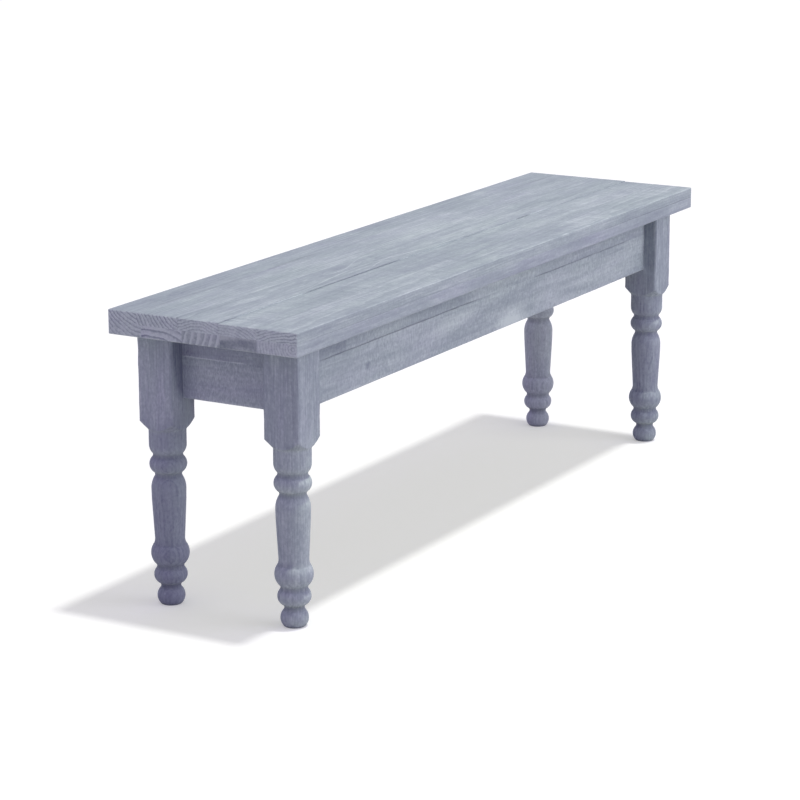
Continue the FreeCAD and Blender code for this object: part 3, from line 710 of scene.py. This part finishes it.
def washed_pine(name, axes, stick, surface, box, lines=(), patches=(), painted_shades=(), knots=()):
    """Pine, rough sawn or turned, under a thin grey wash brushed along the grain.

    The eye gets low contrast: short streaks along the grain, hard rings where the wash sank in darker,
    saw marks across, pale dry-brushed fibres and worn arrises, dark joints, and clear rings on end grain.
    Fibres and saw marks are drawn several times coarser than real ones, which would be too fine to show.
    """
    wash = bpy.context.scene.bench_wash
    wood = bpy.context.scene.bench_wood
    material = new_material(name)
    tree = material.node_tree
    grain = Grain(tree, axes, stick.seed)
    fibre = grain.cloud((8, 1, 1), wood.fibre, 4)
    brush = grain.cloud((28, 1, 1), wood.fibre * 0.8, 3, 0.52, 0.72)
    drag = grain.cloud((10, 1, 1), wood.fibre * 4, 2)
    blotch = grain.cloud((2.5, 1, 1), BLOTCH_SIZE, 3)
    tint = grain.cloud((4, 1, 1), TINT_SIZE, 3)
    saw = grain.cloud((1, surface.stretch, surface.stretch), surface.mark * MM, 3, turn=surface.turn)
    saw = weighted(tree, -0.5, [(saw, 1, 0)])
    saw = combined(tree, "MULTIPLY", saw, grain.looks_along(surface.face))
    sawn_zone = grain.cloud((1, 1, 1), SAWN_ZONE_SIZE, 2)
    speck = grain.cloud((1.5, 1, 1), SPECK_SIZE, 2)
    breaks = grain.cloud((6, 1, 1), BREAK_SIZE, 2)
    phase = grain.ring_phase(stick, knots)
    rings = add(tree, "ShaderNodeValToRGB", {0: phase}, SIDE_RINGS)
    end_rings = add(tree, "ShaderNodeValToRGB", {0: phase}, END_RINGS)
    marks = combined(tree, "MULTIPLY", saw, sawn_zone)
    wear = add(tree, "ShaderNodeAttribute", attribute_name="wear").outputs["Fac"]

    # Tone of the wash: 0 sunk, 0.5 even, 1 pale
    side_tone = weighted(tree, 0.5 + stick.shade, [
        (rings, surface.rings * stick.show, 0.5), (fibre, surface.fibre, 0.5), (brush, surface.brush, 0.2),
        (drag, surface.drag, 0.5), (blotch, surface.blotch, 0.5), (saw, surface.saw * SAW_ALL_OVER, 0),
        (marks, surface.saw * (1 - SAW_ALL_OVER), 0), (speck, surface.speck, 0.5),
        *((grain.inside(patch), 1, 0) for patch in patches),
    ])
    clear = add(tree, "ShaderNodeMapRange", {"Value": grain.cloud((1, 1, 1), CLEAR_SIZE, 2), 3: 0.35, 4: 1.1})
    end_rings = weighted(tree, -END_MIDDLE, [(end_rings, 1, 0)])
    end_rings = combined(tree, "MULTIPLY", end_rings, clear)
    end_tone = weighted(tree, END_TONE, [
        (end_rings, END_CONTRAST * stick.show, 0), (speck, 0.35, 0.5), (blotch, 0.2, 0.5),
    ])
    tone = add(tree, "ShaderNodeMix", {0: grain.end, 2: side_tone, 3: end_tone})
    rubbed = combined(tree, "MULTIPLY", wear, breaks)
    rubbed = combined(tree, "MAXIMUM", rubbed, 0.0)
    tone = weighted(tree, 0, [(tone, 1, 0), (rubbed, RUBBED, 0)])

    # Joints: dark where they are open, pale where the wash filled them; the end grain runs past them
    groove = combined(tree, "MULTIPLY", wear, -GROOVE)
    dark = combined(tree, "MAXIMUM", groove, 0.0)
    length_axis = "XYZ".index(axes[0])
    ends = box[0][length_axis], box[1][length_axis]
    broken = add(tree, "ShaderNodeMapRange", {"Value": breaks, 1: 0.0, 2: 0.7, 3: 0.35, 4: 1.0}, clamp=True)
    sides = add(tree, "ShaderNodeMapRange", {"Value": grain.end, 3: 1.0, 4: PAST_END}, clamp=True)
    shown = combined(tree, "MULTIPLY", broken, sides)
    for line in lines:
        drawn = combined(tree, "MULTIPLY", grain.along(line, ends), shown)
        if line.pale:
            tone = weighted(tree, 0, [(tone, 1, 0), (drawn, FILLED, 0)])
        else:
            dark = combined(tree, "MAXIMUM", dark, drawn)
    # Painted shade in corners beside the legs, drawn in the colour of open joints
    for shade_patch in painted_shades:
        dark = combined(tree, "MAXIMUM", dark, grain.inside(shade_patch))

    cast = weighted(tree, 0.5 + stick.cast, [(tint, 0.6, 0.5), (grain.end, 0.1, 0)])
    tinting = add(
        tree, "ShaderNodeValToRGB", {0: cast}, ((0.1, wash.lilac), (0.5, (1, 1, 1)), (0.9, wash.green)),
    )
    coloured = add(tree, "ShaderNodeValToRGB", {0: tone}, ((0, wash.sunk), (0.5, wash.even), (1, wash.pale)))
    thirst = combined(tree, "MULTIPLY", grain.end, stick.thirst)
    layers = (
        (1, tinting, "MULTIPLY"), (thirst, (*wash.thirsty, 1), "MULTIPLY"), (dark, (*wash.joint, 1), "MIX"),
    )
    for share, laid, kind in layers:
        coloured = add(
            tree, "ShaderNodeMix", {0: share, COLOUR_A: coloured, COLOUR_B: laid},
            data_type="RGBA", blend_type=kind,
        ).outputs[COLOUR_OUT]

    height = weighted(tree, 0, [
        (fibre, 0.5, 0), (rings, -0.4, 0), (marks, 0.6, 0), (dark, -1.5, 0), (speck, 0.2, 0),
    ])
    bump = add(tree, "ShaderNodeBump", {"Height": height, "Strength": 0.6, "Distance": 0.4 * MM})
    rough = add(tree, "ShaderNodeMapRange", {"Value": tone, 3: 0.72, 4: 0.9}, clamp=True)
    shader = add(
        tree, "ShaderNodeBsdfPrincipled",
        {"Base Color": coloured, "Roughness": rough, "Normal": bump, "Specular IOR Level": 0.3},
    )
    add(tree, "ShaderNodeOutputMaterial", {"Surface": shader})
    return material


def bare_pine(name, axes, turn, stick):
    """Planed, bare pine: pale honey early wood, narrow amber rings and fine pores along the grain."""
    inside = bpy.context.scene.bench_inside
    material = new_material(name)
    tree = material.node_tree
    grain = Grain(tree, axes, stick.seed, turn)
    rings = add(tree, "ShaderNodeValToRGB", {0: grain.ring_phase(stick)}, SIDE_RINGS)
    pores = grain.cloud((12, 1, 1), 2 * MM, 3)
    blotch = grain.cloud((3, 1, 1), 60 * MM, 2)
    tone = weighted(tree, 0.6, [(rings, 0.7, 0.5), (pores, 0.25, 0.5), (blotch, 0.3, 0.5)])
    colour = add(tree, "ShaderNodeValToRGB", {0: tone}, ((0, inside.pine_ring), (0.7, inside.pine)))
    bump = add(tree, "ShaderNodeBump", {"Height": pores, "Strength": 0.4, "Distance": 0.15 * MM})
    rough = add(tree, "ShaderNodeMapRange", {"Value": tone, 3: 0.55, 4: 0.7}, clamp=True)
    shader = add(tree, "ShaderNodeBsdfPrincipled", {"Base Color": colour, "Roughness": rough, "Normal": bump})
    add(tree, "ShaderNodeOutputMaterial", {"Surface": shader})
    return material


def zinc_plated_steel():
    """Steel with a bright zinc plate: a cool grey metal, clouded in spots of a few millimetres."""
    inside = bpy.context.scene.bench_inside
    material = new_material("zinc_plated_steel_bright")
    tree = material.node_tree
    grain = Grain(tree, "XYZ", 3.0)
    cloudy = grain.cloud((1, 1, 1), 4 * MM, 3)
    grit = grain.cloud((1, 1, 1), 0.6 * MM, 2)
    colour = add(tree, "ShaderNodeValToRGB", {0: cloudy}, ((0.2, inside.zinc_dull), (0.8, inside.zinc)))
    rough = add(tree, "ShaderNodeMapRange", {"Value": cloudy, 3: 0.5, 4: 0.3}, clamp=True)
    bump = add(tree, "ShaderNodeBump", {"Height": grit, "Strength": 0.3, "Distance": 0.05 * MM})
    shader = add(
        tree, "ShaderNodeBsdfPrincipled",
        {"Base Color": colour, "Metallic": 1.0, "Roughness": rough, "Normal": bump},
    )
    add(tree, "ShaderNodeOutputMaterial", {"Surface": shader})
    return material


# The ten seat strips, 1 at the back; the near end shows these rings
UPPER_STICKS = (
    Stick((92, 512), (4, 3), 5.4, 0.7, 1.7, shade=-0.03, cast=0.1),
    Stick((16, 492), (-6, 2), 5.4, 0.9, 5.2, shade=0.02, cast=0.12),
    Stick((9, 392), (5, 6), 4.4, 0.7, 8.8, cast=0.16),
    Stick((-40, 362), (-4, -5), 4.2, 0.45, 12.1, shade=-0.02, cast=0.2),
    Stick((-160, 311), (3, 4), 4.3, 0.75, 16.4, shade=0.03, cast=0.2),
)
LOWER_STICKS = (
    Stick((90, 508), (4, 3), 6.0, 0.7, 21.3),
    Stick((90, 302), (3, -4), 9.5, 1.1, 25.9, thirst=0.1),
    Stick((-120, 395), (4, 4), 10.6, -1.0, 29.5, thirst=0.3),
    Stick((-70, 302), (5, 2), 47.0, 0.9, 33.1, thirst=0.6),
    Stick((-153, 434), (2, 3), 4.8, 0.4, 37.7, thirst=0.1),
)
# The front and left aprons' upper strips are darker than their lower strips: painted shade under the seat's
# overhang
APRON_STICKS = {
    "front_upper": Stick((-160, 400), (6, 3), 4.5, 1.0, 41.1, shade=-0.02, cast=0.1),
    "front_lower": Stick((-60, 346), (4, -3), 5.0, 1.0, 45.6, shade=0.12, cast=0.2),
    "back_upper": Stick((160, 400), (5, 3), 4.5, 1.0, 61.4),
    "back_lower": Stick((60, 346), (4, -3), 5.0, 1.0, 63.2),
    "left_upper": Stick((-640, 400), (6, 3), 4.5, 1.0, 67.8, shade=-0.05, cast=-0.35),
    "left_lower": Stick((-540, 346), (4, -3), 5.0, 1.0, 71.5, shade=0.1, cast=-0.2),
    "right_upper": Stick((640, 400), (6, 3), 4.5, 1.0, 74.9),
    "right_lower": Stick((540, 346), (4, -3), 5.0, 1.0, 79.3),
}

# The legs, with the pith's place measured from the leg's own axis; their shoulders show thirsty end grain
LEG_THIRST = 1.0
LEG_STICKS = {
    "front_left": Stick((45, -75), (6, 4), 4.2, 0.8, 50.5, shade=0.06),
    "front_right": Stick((-62, -48), (5, 4), 4.6, 0.8, 53.1, shade=-0.15),
    "back_right": Stick((-50, -66), (4, 6), 4.4, 0.8, 56.7, shade=0.23),
    "back_left": Stick((-70, -52), (6, 3), 4.8, 0.9, 59.3, shade=-0.16, cast=-0.1),
}

# The hidden frame; each next piece has the next seed
BLOCK_TURN = math.radians(45)
BLOCK_STICK = Stick((30, 340), (5, 4), 5.0, 0.9, 81.0)
BATTEN_STICK = Stick((0, 350), (4, 3), 4.5, 0.9, 91.0)

# Knots, joints and streaks
SEAT_KNOTS = (Patch((-253, 11, 457), (130, 26, 60), 9),)
KNOT_SWEEP = Patch((-230, -10, 457), (240, 300, 300), 20)
SMALL_SWEEP = Patch((-140, -10, 457), (110, 300, 300), 18)
KNOT_RISE = Patch((-160, 20, 457), (110, 300, 300), 26)
SEAT_LINES = (
    Line(1, 111, 6.0, False, (
        (0, 0.05), (0.04, 0.1), (0.06, 0.25), (0.13, 0.2), (0.16, 0.02), (0.26, 0.02), (0.28, 0.25),
        (0.35, 0.2), (0.38, 0.02), (0.85, 0.02), (0.88, 0.2), (0.93, 0.2), (1, 0.1),
    )),
    Line(1, 40, 3.0, False, ((0, 0.5), (0.015, 0.1), (0.07, 0.0), (1, 0.05))),
    Line(1, 38, 3.5, True, (
        (0, 0), (0.05, 0), (0.08, 0.45), (0.26, 0.4), (0.3, 0.1), (0.38, 0.25), (0.52, 0.15), (0.6, 0),
        (1, 0),
    ), waver=5),
    Line(1, -23, 2.5, True, (
        (0, 0), (0.14, 0), (0.17, 0.35), (0.3, 0.35), (0.42, 0.3), (0.55, 0.15), (0.7, 0), (1, 0),
    ), waver=4, bend=KNOT_SWEEP),
    Line(1, -25, 2.2, True, (
        (0, 0), (0.3, 0), (0.33, 0.35), (0.48, 0.3), (0.6, 0.2), (0.75, 0), (1, 0),
    ), waver=4, bend=SMALL_SWEEP),
    Line(1, 6, 2.2, True, (
        (0, 0), (0.26, 0), (0.29, 0.35), (0.38, 0.35), (0.44, 0), (1, 0),
    ), waver=3, bend=KNOT_RISE),
    Line(1, -3, 2.5, False, (
        (0, 0), (0.48, 0), (0.52, 0.15), (0.58, 0), (0.7, 0), (0.73, 0.25), (0.82, 0), (1, 0),
    ), waver=4),
    Line(1, -30, 1.2, True, (
        (0, 0), (0.03, 0), (0.05, 0.45), (0.16, 0.45), (0.18, 0.0), (0.38, 0.0), (0.4, 0.45), (0.53, 0.45),
        (0.55, 0.2), (0.68, 0.25), (0.685, 0), (0.715, 0), (0.72, 0.35), (0.76, 0.35), (0.78, 0.25),
        (0.95, 0.25), (1, 0.2),
    )),
    Line(1, -30, 3.0, False, (
        (0, 0.4), (0.03, 0.3), (0.04, 0.0), (0.17, 0.0), (0.185, 0.32), (0.37, 0.28), (0.39, 0.0),
        (0.53, 0.0), (0.55, 0.2), (0.6, 0.08), (0.68, 0.05), (0.69, 0.4), (0.71, 0.4), (0.72, 0.0),
        (0.76, 0.0), (0.78, 0.15), (0.94, 0.12), (1, 0.05),
    )),
    Line(1, -94, 3.0, False, ((0, 0.1), (0.3, 0.05), (0.7, 0.12), (1, 0.05))),
    Line(2, 439, 1.4, False, (
        (0, 0.0), (0.08, 0.0), (0.1, 0.2), (0.24, 0.15), (0.27, 0.0), (0.72, 0.0), (0.76, 0.3),
        (0.99, 0.35), (1, 0.1),
    )),
)
FRONT_APRON_LINES = (
    Line(2, 383, 2.0, False, (
        (0, 0.1), (0.03, 0.15), (0.05, 0.6), (0.44, 0.6), (0.47, 0.03), (0.62, 0.03), (0.65, 0.55),
        (0.92, 0.5), (0.95, 0.05), (1, 0.05),
    )),
)
LEFT_APRON_LINES = (Line(2, 383, 1.8, True, ((0, 0.0), (0.28, 0.1), (0.34, 0.6), (0.95, 0.6), (1, 0.2))),)
BACK_APRON_LINES = (Line(2, 383, 1.8, False, ((0, 0.1), (0.3, 0.5), (0.6, 0.1), (0.8, 0.5), (1, 0.2))),)
APRON_LINES = {
    "front": FRONT_APRON_LINES, "left": LEFT_APRON_LINES, "back": BACK_APRON_LINES, "right": BACK_APRON_LINES,
}
SEAT_PATCHES = (
    Patch((-253, 19, 457), (34, 15, 40), -0.15, 0.8),
    Patch((150, 40, 457), (330, 110, 40), 0.16),
    Patch((420, -60, 457), (260, 70, 40), 0.1),
    Patch((-540, 130, 457), (200, 60, 40), -0.1),
)
APRON_PATCHES = {
    "front_upper": (
        # Painted shade under the seat beside the near leg, over a darker wash there
        Patch((-567, -115, 402), (114, 300, 300), -0.2, 0.05),
        # Painted light that lifts the middle of the strip out of the seat's shade
        Patch((40, -115, 402), (150, 300, 300), 0.18, 0.5),
    ),
    "front_lower": (
        Patch((63, -115, 329), (75, 60, 26), 0.45),
        Patch((-137, -115, 362), (110, 60, 24), 0.25),
        Patch((470, -115, 352), (120, 60, 30), 0.12),
        Patch((-393, -115, 347), (12, 60, 10), -0.35),
    ),
    # Painted shade on the end apron where it meets the back leg
    "left_upper": (Patch((82, -598, 400), (45, 60, 200), -0.24),),
    "left_lower": (Patch((82, -598, 350), (45, 60, 200), -0.24),),
}

# Painted light and shade on the legs' blocks: darker on the front left leg's end face, lighter on the front
# right leg's front face and on the back left leg's end face, darker on the back left leg's front face under
# the seat; and a small darker spot on the front left leg's shoulder
LEG_PAINTED_LIGHT_AND_SHADE = {
    "front_left": (
        Patch((360, -627, -108), (110, 14, 60), -0.1, 0.5),
        Patch((277, -620, -125), (9, 22, 22), -0.25),
    ),
    "front_right": (Patch((360, 597, -138), (110, 60, 14), 0.1, 0.5),),
    "back_left": (
        Patch((365, -627, 108), (110, 40, 60), 0.2, 0.4),
        Patch((400, -599, 78), (90, 27, 14), -0.36, 0.3),
    ),
}

# Painted shade in the corner beside the far front leg's block, where the front apron meets it
LEG_PAINTED_SHADE = {"front_right": (Patch((372, 567, -130), (62, 5, 26), 0.3, 0.3),)}
LINE_REACH = 2 * MM


def runs_over(box, line):
    """Whether a line runs over or beside a board."""
    return box[0][line.axis] - LINE_REACH < line.place * MM < box[1][line.axis] + LINE_REACH


def lies_on(box, patch):
    """Whether the middle of a patch or knot lies on a board."""
    return all(
        low - LINE_REACH < middle * MM < high + LINE_REACH
        for low, middle, high in zip(box[0], patch.middle, box[1])
    )


# Operators

class BENCH_OT_seat(bpy.types.Operator):
    """Makes the seat's ten glued strips"""

    bl_idname = "bench.seat"
    bl_label = "Seat strips"

    def execute(self, context):
        nodes = [f"seat_{level}_strip_{strip}" for level in LEVELS for strip in STRIPS]
        upper = nodes[:len(STRIPS)]
        slab = whole_box(nodes)
        for node, stick in zip(nodes, UPPER_STICKS + LOWER_STICKS):
            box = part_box(node)
            lines = [line for line in SEAT_LINES if runs_over(box, line)]
            knots = [knot for knot in SEAT_KNOTS if lies_on(box, knot)]
            # The strips in front of the middle kept more of the saw's marks
            surface = SAW_MARKED if box[1].y < 0 else PLANED
            patches = SEAT_PATCHES if node in upper else ()
            finish = washed_pine(node + "_wash", "XYZ", stick, surface, box, lines, patches, knots=knots)
            stands_for(sawn_board(node, slab, 0, True), node, finish)
        return {"FINISHED"}


class BENCH_OT_aprons(bpy.types.Operator):
    """Makes the four aprons, each glued up from two strips"""

    bl_idname = "bench.aprons"
    bl_label = "Aprons"

    def execute(self, context):
        for side in SIDES:
            apron = whole_box([f"apron_{side}_{level}" for level in LEVELS])
            axes, surface = ("XYZ", SAWN_LONG) if side in ("front", "back") else ("YXZ", SAWN_SHORT)
            for level in LEVELS:
                node = f"apron_{side}_{level}"
                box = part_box(node)
                stick = APRON_STICKS[f"{side}_{level}"]
                patches = APRON_PATCHES.get(f"{side}_{level}", ())
                finish = washed_pine(node + "_wash", axes, stick, surface, box, APRON_LINES[side], patches)
                board = sawn_board(node, apron, "XYZ".index(axes[0]), False)
                stands_for(board, node, finish)
        return {"FINISHED"}


class BENCH_OT_legs(bpy.types.Operator):
    """Makes the four turned legs"""

    bl_idname = "bench.legs"
    bl_label = "Turned legs"

    def execute(self, context):
        for corner, stick in LEG_STICKS.items():
            node = "leg_" + corner
            low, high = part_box(node)
            middle = (low + high) / 2 / MM
            pith = middle.x + stick.pith[0], middle.y + stick.pith[1]
            stick = stick._replace(pith=pith, thirst=LEG_THIRST)
            patches, painted_shades = LEG_PAINTED_LIGHT_AND_SHADE.get(corner, ()), LEG_PAINTED_SHADE.get(corner, ())
            surface = TURNED_STREAKED if corner == "front_right" else TURNED
            finish = washed_pine(node + "_wash", "ZXY", stick, surface, (low, high), (), patches, painted_shades)
            stands_for(turned_leg(corner), node, finish)
        return {"FINISHED"}


class BENCH_OT_inner_frame(bpy.types.Operator):
    """Gives the corner blocks and cross battens under the seat their bare pine"""

    bl_idname = "bench.inner_frame"
    bl_label = "Inner frame"

    def execute(self, context):
        for count, (corner, (side_x, side_y)) in enumerate(CORNERS.items()):
            turn = -BLOCK_TURN * side_x * side_y
            stick = BLOCK_STICK._replace(seed=BLOCK_STICK.seed + count)
            refinish("corner_block_" + corner, bare_pine(corner + "_block_pine", "XYZ", turn, stick))
        for count, node in enumerate(BATTENS):
            stick = BATTEN_STICK._replace(seed=BATTEN_STICK.seed + count)
            refinish(node, bare_pine(node + "_pine", "YXZ", 0, stick))
        return {"FINISHED"}


class BENCH_OT_fasteners(bpy.types.Operator):
    """Gives the bolts, nuts, washers, screws and clips their zinc plate"""

    bl_idname = "bench.fasteners"
    bl_label = "Fasteners"

    def execute(self, context):
        plate = zinc_plated_steel()
        for node in FASTENERS:
            refinish(node, plate)
        return {"FINISHED"}


def refinish(node, material):
    """Gives one of the frame's own nodes a better material."""
    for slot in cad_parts[node].material_slots:
        slot.material = material


class BENCH_OT_stage(bpy.types.Operator):
    """Makes the floor, the lights and the camera"""

    bl_idname = "bench.stage"
    bl_label = "Stage"

    def execute(self, context):
        scene = context.scene
        scene.view_settings.view_transform = "Standard"
        stage = scene.bench_stage
        make_camera(scene, stage)
        make_floor(scene)
        make_lights(scene, stage)
        make_room(scene, stage)
        return {"FINISHED"}


def make_camera(scene, stage):
    """A long lens on the near left end, a little above the seat."""
    flat = math.cos(stage.elevation)
    sine, cosine = math.sin(stage.azimuth), math.cos(stage.azimuth)
    back = Vector((sine * flat, -cosine * flat, math.sin(stage.elevation)))
    level = Vector((cosine, sine, 0))
    turn = Matrix.Rotation(stage.roll, 3, back)
    right, up = turn @ level, turn @ back.cross(level)
    middle = Vector((0, 0, CAD_BOX[1].z / 2))
    lens = bpy.data.cameras.new("Camera")
    lens.lens = stage.lens
    camera = bpy.data.objects.new("Camera", lens)
    camera.rotation_euler = Matrix((right, up, back)).transposed().to_euler()
    camera.location = middle + back * stage.distance + right * stage.aside + up * stage.above
    scene.collection.objects.link(camera)
    scene.camera = camera


FLOOR_REACH = 15.0
FLOOR_DROP = 0.2 * MM


def make_floor(scene):
    """A pale floor that the camera sees as white paper with a grey shadow."""
    bm = bmesh.new()
    below = Matrix.Translation((0, 0, -FLOOR_DROP))
    bmesh.ops.create_grid(bm, x_segments=1, y_segments=1, size=FLOOR_REACH, matrix=below)
    mesh = bpy.data.meshes.new("Floor")
    bm.to_mesh(mesh)
    bm.free()
    floor = bpy.data.objects.new("Floor", mesh)
    scene.collection.objects.link(floor)
    mesh.materials.append(paper_floor())


def seen(tree):
    """1 for rays that show a surface to the eye: straight, in a reflection or through glass."""
    path = add(tree, "ShaderNodeLightPath")
    eye, glossy, through = (path.outputs[f"Is {kind} Ray"] for kind in ("Camera", "Glossy", "Transmission"))
    return combined(tree, "MAXIMUM", combined(tree, "MAXIMUM", eye, glossy), through)


PAPER = (*linear("#C5C5C2"), 1)
SEEN_PAPER = (*linear("#DAD7ED"), 1)
SEEN_GLOW = (*linear("#ACB190"), 1)
# The glow close to the feet: painted contact shade, dimmer and neutral
CONTACT_SHADE_GLOW = (*linear("#959595"), 1)
CONTACT_SHADE_REACH = 0.12


def paper_floor():
    """White paper sweep: lit paper is white to the camera, and the bench's shadow on it is a neutral grey.

    The paper that the camera sees cancels the tints of the lamps, and so does its glow close to the feet,
    which dims there to a neutral grey: painted contact shade.
    From below it is clear, so that the frame under the seat can be looked at.
    """
    material = new_material("paper_floor")
    tree = material.node_tree
    lit = add(tree, "ShaderNodeBsdfDiffuse", {"Color": PAPER})
    openness = add(tree, "ShaderNodeAmbientOcclusion", {"Distance": CONTACT_SHADE_REACH}).outputs["AO"]
    glow_colour = add(
        tree, "ShaderNodeMix", {0: openness, COLOUR_A: CONTACT_SHADE_GLOW, COLOUR_B: SEEN_GLOW}, data_type="RGBA",
    ).outputs[COLOUR_OUT]
    glow = add(tree, "ShaderNodeEmission", {"Color": glow_colour, "Strength": 1})
    seen_lit = add(tree, "ShaderNodeBsdfDiffuse", {"Color": SEEN_PAPER})
    shown = add(tree, "ShaderNodeAddShader", {0: glow, 1: seen_lit})
    choice = add(tree, "ShaderNodeMixShader", {0: seen(tree), 1: lit, 2: shown})
    from_below = add(tree, "ShaderNodeNewGeometry").outputs["Backfacing"]
    clear = add(tree, "ShaderNodeBsdfTransparent")
    one_way = add(tree, "ShaderNodeMixShader", {0: from_below, 1: choice, 2: clear})
    add(tree, "ShaderNodeOutputMaterial", {"Surface": one_way})
    return material


KEY_FROM = Vector((0.11, -0.17, 1.0))
FILL_PLACE = Vector((0.8, -4.0, 1.6))
FILL_AIM = Vector((0, 0, 0.3))
FILL_SIZE = 3.0


def make_lights(scene, stage):
    """A steep key light from the right front and a soft fill in front."""
    key = bpy.data.lights.new("Key", "SUN")
    key.energy = stage.key
    key.color = stage.key_colour
    key.angle = stage.key_angle
    fill = bpy.data.lights.new("Fill", "AREA")
    fill.energy = stage.fill
    fill.color = stage.fill_colour
    fill.shape = "SQUARE"
    fill.size = FILL_SIZE
    for light, place, heading in ((key, KEY_FROM, KEY_FROM), (fill, FILL_PLACE, FILL_PLACE - FILL_AIM)):
        lamp = bpy.data.objects.new(light.name, light)
        lamp.location = place
        lamp.rotation_euler = heading.to_track_quat("Z", "Y").to_euler()
        scene.collection.objects.link(lamp)


def make_room(scene, stage):
    """Even light from all round, which the camera sees as white."""
    world = bpy.data.worlds.new("Room")
    scene.world = world
    world.use_nodes = True
    tree = world.node_tree
    tree.nodes.clear()
    light = add(tree, "ShaderNodeBackground", {"Color": (*stage.room_colour, 1), "Strength": stage.room})
    white = add(tree, "ShaderNodeBackground", {"Color": (1, 1, 1, 1), "Strength": 1})
    choice = add(tree, "ShaderNodeMixShader", {0: seen(tree), 1: light, 2: white})
    add(tree, "ShaderNodeOutputWorld", {"Surface": choice})


OPERATORS = (
    BENCH_OT_stage, BENCH_OT_seat, BENCH_OT_aprons, BENCH_OT_legs, BENCH_OT_inner_frame, BENCH_OT_fasteners,
)


class BENCH_PT_panel(bpy.types.Panel):
    """Lists the operators that make the bench's pieces"""

    bl_label = "Dining bench"
    bl_idname = "BENCH_PT_panel"
    bl_space_type = "VIEW_3D"
    bl_region_type = "UI"
    bl_category = "Dining bench"

    def draw(self, context):
        for operator in OPERATORS:
            self.layout.operator(operator.bl_idname)


GROUPS = {
    "bench_wash": BenchWash,
    "bench_inside": BenchInside,
    "bench_wood": BenchWood,
    "bench_stage": BenchStage,
}
CLASSES = (*GROUPS.values(), *OPERATORS, BENCH_PT_panel)


def register():
    for cls in CLASSES:
        bpy.utils.register_class(cls)
    for name, group in GROUPS.items():
        setattr(bpy.types.Scene, name, PointerProperty(type=group))


def unregister():
    for name in GROUPS:
        delattr(bpy.types.Scene, name)
    for cls in reversed(CLASSES):
        bpy.utils.unregister_class(cls)


def main():
    register()
    bpy.ops.bench.stage()
    bpy.ops.bench.seat()
    bpy.ops.bench.aprons()
    bpy.ops.bench.legs()
    bpy.ops.bench.inner_frame()
    bpy.ops.bench.fasteners()


if __name__ == "__main__":
    main()
